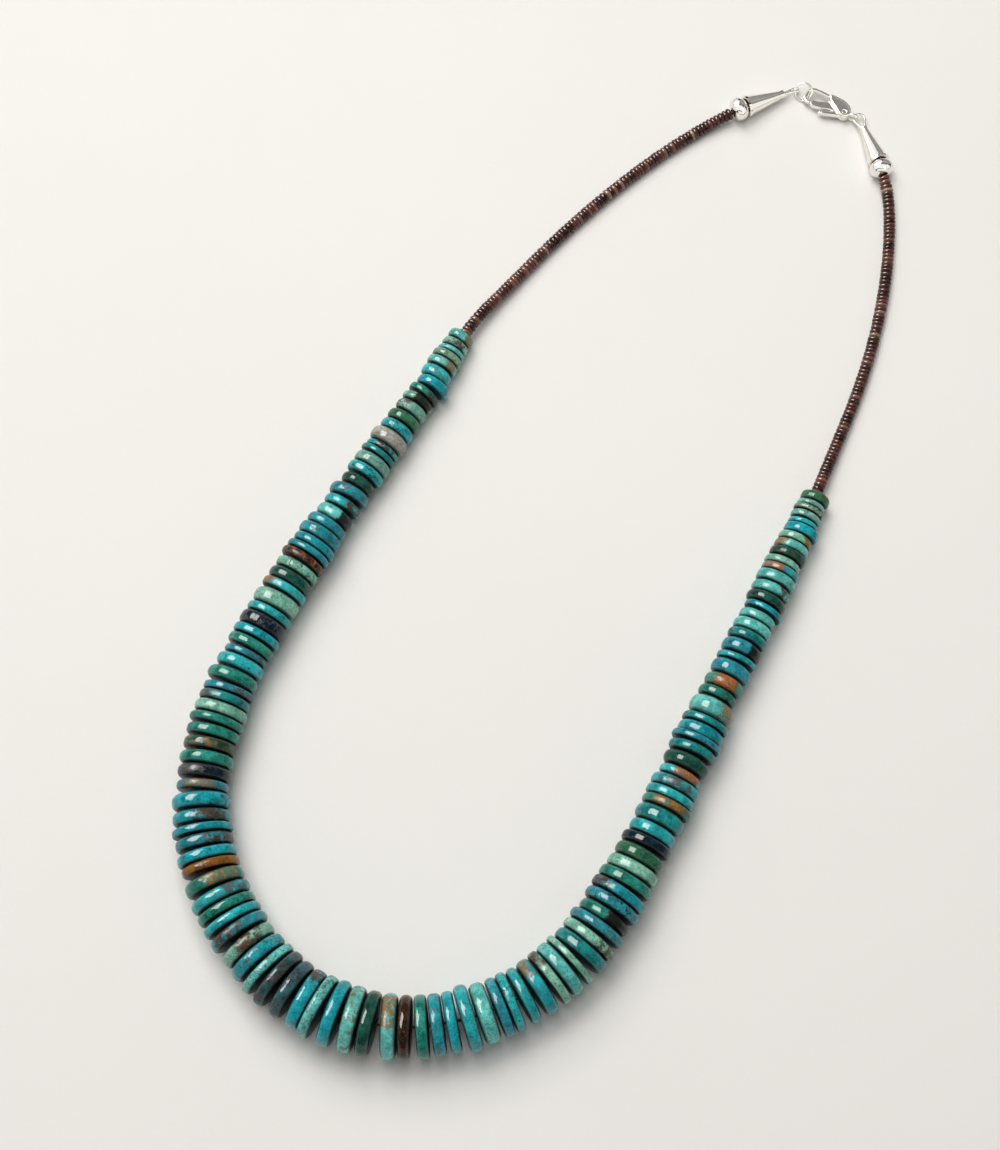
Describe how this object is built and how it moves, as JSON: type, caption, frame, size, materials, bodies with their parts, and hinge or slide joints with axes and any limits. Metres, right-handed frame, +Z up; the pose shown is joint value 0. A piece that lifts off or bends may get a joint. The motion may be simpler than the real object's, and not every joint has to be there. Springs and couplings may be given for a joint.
{
  "type": "turquoise bead necklace",
  "caption": "Necklace of graded turquoise disc beads with brown shell bead strands, silver beads and cones, and a lever clasp at the back, lying as an open loop.",
  "frame": {"origin": "bottom centre of the necklace's box as it lies in an open loop", "axes": "+Y across the loop from the front discs towards the clasp, +Z up from the surface it lies on"},
  "size_m": [0.1462, 0.2062, 0.0127],
  "materials": {
    "turquoise": "polished turquoise discs in blue, blue-green and green, with brown and black matrix",
    "shell": "small polished dark reddish-brown shell discs",
    "silver": "polished silver, a little darkened in its grooves",
    "thread": "dark twisted thread"
  },
  "bodies": {
    "root": {"bead_thread": "thread", "clasp_body": "silver", "clasp_rivet": "silver", "end_cone_left": "silver", "end_cone_right": "silver", "jump_ring": "silver", "shell_strand_left": "shell", "shell_strand_right": "shell", "silver_bead_left": "silver", "silver_bead_right": "silver", "turquoise_disc_01": "turquoise", "turquoise_disc_02": "turquoise", "turquoise_disc_03": "turquoise", "turquoise_disc_04": "turquoise", "turquoise_disc_05": "turquoise", "turquoise_disc_06": "turquoise", "turquoise_disc_07": "turquoise", "turquoise_disc_08": "turquoise", "turquoise_disc_09": "turquoise", "turquoise_disc_10": "turquoise", "turquoise_disc_11": "turquoise", "turquoise_disc_12": "turquoise", "turquoise_disc_13": "turquoise", "turquoise_disc_14": "turquoise", "turquoise_disc_15": "turquoise", "turquoise_disc_16": "turquoise", "turquoise_disc_17": "turquoise", "turquoise_disc_18": "turquoise", "turquoise_disc_19": "turquoise", "turquoise_disc_20": "turquoise", "turquoise_disc_21": "turquoise", "turquoise_disc_22": "turquoise", "turquoise_disc_23": "turquoise", "turquoise_disc_24": "turquoise", "turquoise_disc_25": "turquoise", "turquoise_disc_26": "turquoise", "turquoise_disc_27": "turquoise", "turquoise_disc_28": "turquoise", "turquoise_disc_29": "turquoise", "turquoise_disc_30": "turquoise", "turquoise_disc_31": "turquoise", "turquoise_disc_32": "turquoise", "turquoise_disc_33": "turquoise", "turquoise_disc_34": "turquoise", "turquoise_disc_35": "turquoise", "turquoise_disc_36": "turquoise", "turquoise_disc_37": "turquoise", "turquoise_disc_38": "turquoise", "turquoise_disc_39": "turquoise", "turquoise_disc_40": "turquoise", "turquoise_string_left": "turquoise", "turquoise_string_right": "turquoise", "wire_eye_left": "silver", "wire_eye_right": "silver"},
    "lever": {"clasp_lever": "silver"}
  },
  "joints": [
    {"name": "clasp_lever_hinge", "type": "hinge", "parent": "root", "child": "lever", "pos_m": [0.06325, 0.09582, 0.00144], "axis": [0, 0, -1], "range_deg": [0, 10], "stiffness_Nm_per_rad": 0.006, "springref_deg": -20.05}
  ]
}
